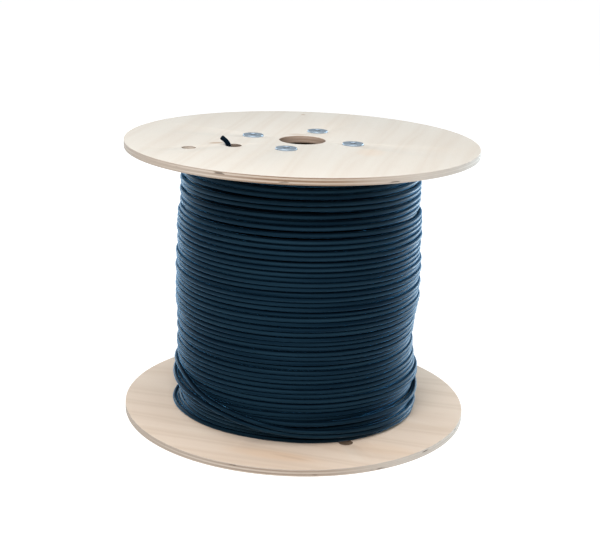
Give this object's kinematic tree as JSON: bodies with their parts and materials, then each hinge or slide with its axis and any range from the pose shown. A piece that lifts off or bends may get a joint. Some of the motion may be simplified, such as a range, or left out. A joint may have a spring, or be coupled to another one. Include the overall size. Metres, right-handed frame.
{
  "type": "solar cable spool",
  "caption": "Plywood spool on its end, wound with black single-core solar cable between round flanges clamped by threaded rods, with the inner cable end standing out of the top flange.",
  "frame": {"origin": "centre of the lower flange's underside, on which the spool stands", "axes": "+Z along the spool's axis, upwards; +X to the right and +Y away from the camera of the picture"},
  "size_m": [0.4, 0.4, 0.33],
  "materials": {
    "plywood": "raw sanded veneer",
    "core_board": "raw wound paper",
    "zinc_steel": "zinc plated",
    "rod_steel": "zinc plated thread",
    "cable_jacket": "matt cross-linked jacket"
  },
  "bodies": {
    "root": {"flange_top": "plywood", "flange_bottom": "plywood", "core_tube": "core_board", "tie_rod_1": "rod_steel", "tie_rod_2": "rod_steel", "tie_rod_3": "rod_steel", "tie_rod_4": "rod_steel", "nut_top_1": "zinc_steel", "nut_top_2": "zinc_steel", "nut_top_3": "zinc_steel", "nut_top_4": "zinc_steel", "nut_bottom_1": "zinc_steel", "nut_bottom_2": "zinc_steel", "nut_bottom_3": "zinc_steel", "nut_bottom_4": "zinc_steel", "cable_winding": "cable_jacket", "cable_tail": "cable_jacket"}
  },
  "joints": []
}
